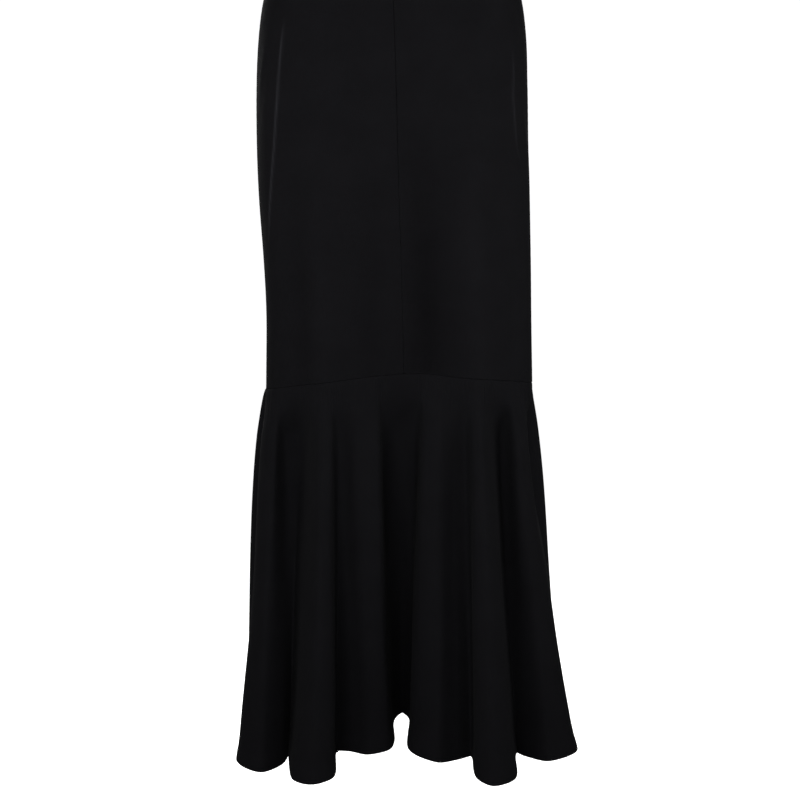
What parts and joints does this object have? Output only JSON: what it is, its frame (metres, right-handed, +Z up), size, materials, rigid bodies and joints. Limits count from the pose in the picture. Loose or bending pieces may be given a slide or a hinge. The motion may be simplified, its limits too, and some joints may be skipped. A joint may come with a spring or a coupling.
{
  "type": "mermaid fishtail skirt",
  "caption": "Long fitted crepe skirt with a centre front seam, an arched knee seam and a flared flounce hanging in soft uneven folds; open waist and hem.",
  "frame": {"origin": "centre of the waist opening, level with the top edge, where the wearer's waist holds the skirt", "axes": "+Z up out of the waist, -Y towards the front of the skirt, +X towards the wearer's left"},
  "size_m": [0.4244, 0.4155, 1.0098],
  "materials": {
    "crepe": "matte black crepe with a faint soft sheen",
    "zip_tape": "woven black polyester tape",
    "zip_metal": "satin black enamel"
  },
  "bodies": {
    "skirt": {"front_right": "crepe", "front_left": "crepe", "back_left": "crepe", "back_right": "crepe", "flounce_front": "crepe", "flounce_back": "crepe", "waistband": "crepe", "zip_tape": "zip_tape", "zip_slider": "zip_metal"},
    "pull_tab": {"zip_pull": "zip_metal"}
  },
  "joints": [
    {"name": "pull_hinge", "type": "hinge", "parent": "skirt", "child": "pull_tab", "pos_m": [0, 0.09677, -0.00789], "axis": [1, 0, 0], "range_deg": [0, 150]}
  ]
}
